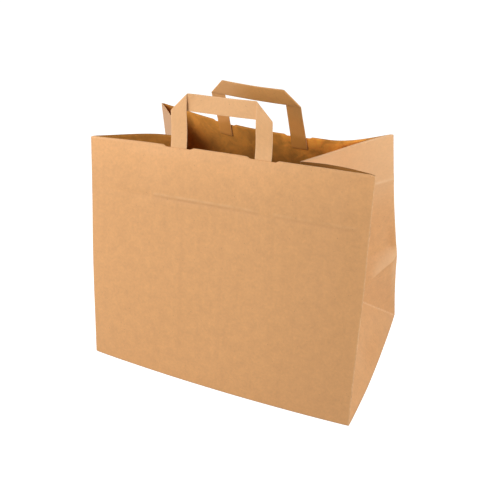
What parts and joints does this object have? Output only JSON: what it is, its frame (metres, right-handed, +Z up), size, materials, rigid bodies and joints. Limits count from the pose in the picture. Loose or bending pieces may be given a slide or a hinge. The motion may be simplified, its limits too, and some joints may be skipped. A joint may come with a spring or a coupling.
{
  "type": "paper carrier bag",
  "caption": "Open kraft paper carrier bag with a block bottom, side gussets folded inwards and flat folded-strip handles glued inside the front and back panels.",
  "frame": {"origin": "middle of the bottom's underside, on the surface that the bag stands on", "axes": "+Z up, +X to the right across the front panel, +Y from the front panel to the back panel"},
  "size_m": [0.32, 0.2152, 0.3229],
  "materials": {
    "kraft": "uncoated brown kraft paper, machine-glazed side out",
    "kraft_strip": "uncoated brown kraft paper, folded to several plies and glued flat"
  },
  "bodies": {
    "root": {"bag_body": "kraft", "front_handle": "kraft_strip", "back_handle": "kraft_strip"}
  },
  "joints": []
}
